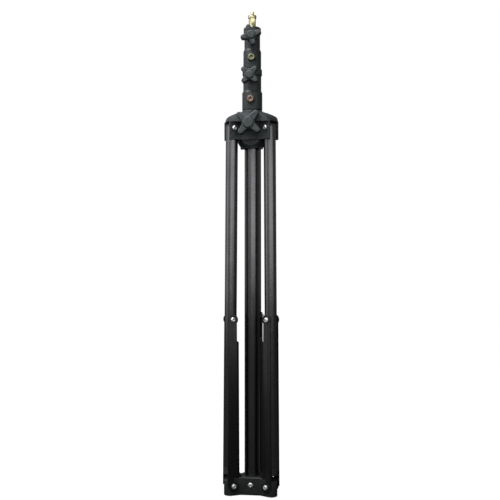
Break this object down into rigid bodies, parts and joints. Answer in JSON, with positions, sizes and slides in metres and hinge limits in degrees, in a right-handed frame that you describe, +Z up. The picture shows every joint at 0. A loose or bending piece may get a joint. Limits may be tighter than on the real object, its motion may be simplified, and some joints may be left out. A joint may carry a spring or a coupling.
{
  "type": "light stand",
  "caption": "Folding three-leg light stand with a channel brace on each leg, a sliding leg carrier, telescoping risers with lock knobs and a standard spigot on top.",
  "frame": {"origin": "centre of the column's end plug, on the underside of the base hub, on the column's axis", "axes": "+Z up along the column, -Y to the front, where the lock knobs point, +X to the right seen from the front"},
  "size_m": [0.1086, 0.1178, 0.9198],
  "materials": {
    "anodised": "black anodised, satin",
    "casting": "die cast, dark grey paint, fine grain",
    "brace_paint": "black, satin",
    "plastic": "moulded nylon, fine grain",
    "bush": "black, smooth",
    "zinc": "bright zinc plated",
    "yellow_zinc": "yellow zinc plated",
    "red_zinc": "reddish zinc plated",
    "brass": "turned, bright",
    "rubber": "black, matte"
  },
  "bodies": {
    "base": {"column_tube": "anodised", "column_end_plug": "bush", "base_hub": "casting", "hub_clamp_screw": "zinc", "hub_bolt_1": "zinc", "hub_bolt_2": "zinc", "hub_bolt_3": "zinc", "hub_nut_1": "zinc", "hub_nut_2": "zinc", "hub_nut_3": "zinc", "column_collar": "casting", "column_collar_bush": "bush", "column_collar_screw": "red_zinc"},
    "riser_1": {"riser_1_tube": "anodised", "riser_1_guide": "bush", "riser_1_collar": "casting", "riser_1_collar_bush": "bush", "riser_1_collar_screw": "yellow_zinc"},
    "riser_2": {"riser_2_tube": "anodised", "riser_2_guide": "bush", "spigot": "brass", "spigot_pin": "zinc"},
    "spider": {"spider_casting": "casting", "spider_bush": "bush", "leg_bolt_1": "zinc", "leg_bolt_2": "zinc", "leg_bolt_3": "zinc", "leg_nut_1": "zinc", "leg_nut_2": "zinc", "leg_nut_3": "zinc"},
    "leg_1": {"leg_1_tube": "anodised", "leg_1_head": "casting", "leg_1_foot": "rubber", "leg_1_knee_bush": "zinc"},
    "brace_1": {"brace_1_channel": "brace_paint", "brace_1_knee_bolt": "zinc", "brace_1_knee_nut": "zinc"},
    "knob_1": {"knob_1": "plastic", "knob_1_cap": "plastic", "knob_1_stud": "zinc"},
    "leg_2": {"leg_2_tube": "anodised", "leg_2_head": "casting", "leg_2_foot": "rubber", "leg_2_knee_bush": "zinc"},
    "brace_2": {"brace_2_channel": "brace_paint", "brace_2_knee_bolt": "zinc", "brace_2_knee_nut": "zinc"},
    "knob_2": {"knob_2": "plastic", "knob_2_cap": "plastic", "knob_2_stud": "zinc"},
    "leg_3": {"leg_3_tube": "anodised", "leg_3_head": "casting", "leg_3_foot": "rubber", "leg_3_knee_bush": "zinc"},
    "brace_3": {"brace_3_channel": "brace_paint", "brace_3_knee_bolt": "zinc", "brace_3_knee_nut": "zinc"},
    "knob_3": {"knob_3": "plastic", "knob_3_cap": "plastic", "knob_3_stud": "zinc"}
  },
  "joints": [
    {"name": "riser_1_slide", "type": "slide", "parent": "base", "child": "riser_1", "axis": [0, 0, 1], "range_m": [0, 0.66]},
    {"name": "riser_2_slide", "type": "slide", "parent": "riser_1", "child": "riser_2", "axis": [0, 0, 1], "range_m": [0, 0.66]},
    {"name": "spider_slide", "type": "slide", "parent": "base", "child": "spider", "axis": [0, 0, -1], "range_m": [0, 0.23596]},
    {"name": "leg_1_hinge", "type": "hinge", "parent": "spider", "child": "leg_1", "pos_m": [-0.03603, -0.0208, 0.693], "axis": [-0.5, 0.866, 0], "range_deg": [0, 44.58]},
    {"name": "brace_1_hinge", "type": "hinge", "parent": "base", "child": "brace_1", "pos_m": [-0.03672, -0.0212, 0.018], "axis": [0.5, -0.866, 0], "range_deg": [0, 53.85]},
    {"name": "leg_2_hinge", "type": "hinge", "parent": "spider", "child": "leg_2", "pos_m": [0.03603, -0.0208, 0.693], "axis": [-0.5, -0.866, 0], "range_deg": [0, 44.58]},
    {"name": "brace_2_hinge", "type": "hinge", "parent": "base", "child": "brace_2", "pos_m": [0.03672, -0.0212, 0.018], "axis": [0.5, 0.866, 0], "range_deg": [0, 53.85]},
    {"name": "leg_3_hinge", "type": "hinge", "parent": "spider", "child": "leg_3", "pos_m": [0, 0.0416, 0.693], "axis": [1, 0, 0], "range_deg": [0, 44.58]},
    {"name": "brace_3_hinge", "type": "hinge", "parent": "base", "child": "brace_3", "pos_m": [0, 0.0424, 0.018], "axis": [-1, 0, 0], "range_deg": [0, 53.85]},
    {"name": "knob_1_turn", "type": "hinge", "parent": "riser_1", "child": "knob_1", "pos_m": [0.00162, -0.02645, 0.8672], "axis": [0.061, -0.9981, 0], "continuous": true},
    {"name": "knob_2_turn", "type": "hinge", "parent": "base", "child": "knob_2", "pos_m": [-0.00023, -0.0265, 0.7925], "axis": [-0.0087, -1, 0], "continuous": true},
    {"name": "knob_3_turn", "type": "hinge", "parent": "spider", "child": "knob_3", "pos_m": [0, -0.042, 0.7005], "axis": [0, -1, 0], "continuous": true}
  ],
  "couplings": [
    {"joint": "leg_1_hinge", "follows": "spider_slide", "rad_per_m": 3.298},
    {"joint": "brace_1_hinge", "follows": "spider_slide", "rad_per_m": 3.9835},
    {"joint": "leg_2_hinge", "follows": "spider_slide", "rad_per_m": 3.298},
    {"joint": "brace_2_hinge", "follows": "spider_slide", "rad_per_m": 3.9835},
    {"joint": "leg_3_hinge", "follows": "spider_slide", "rad_per_m": 3.298},
    {"joint": "brace_3_hinge", "follows": "spider_slide", "rad_per_m": 3.9835}
  ]
}
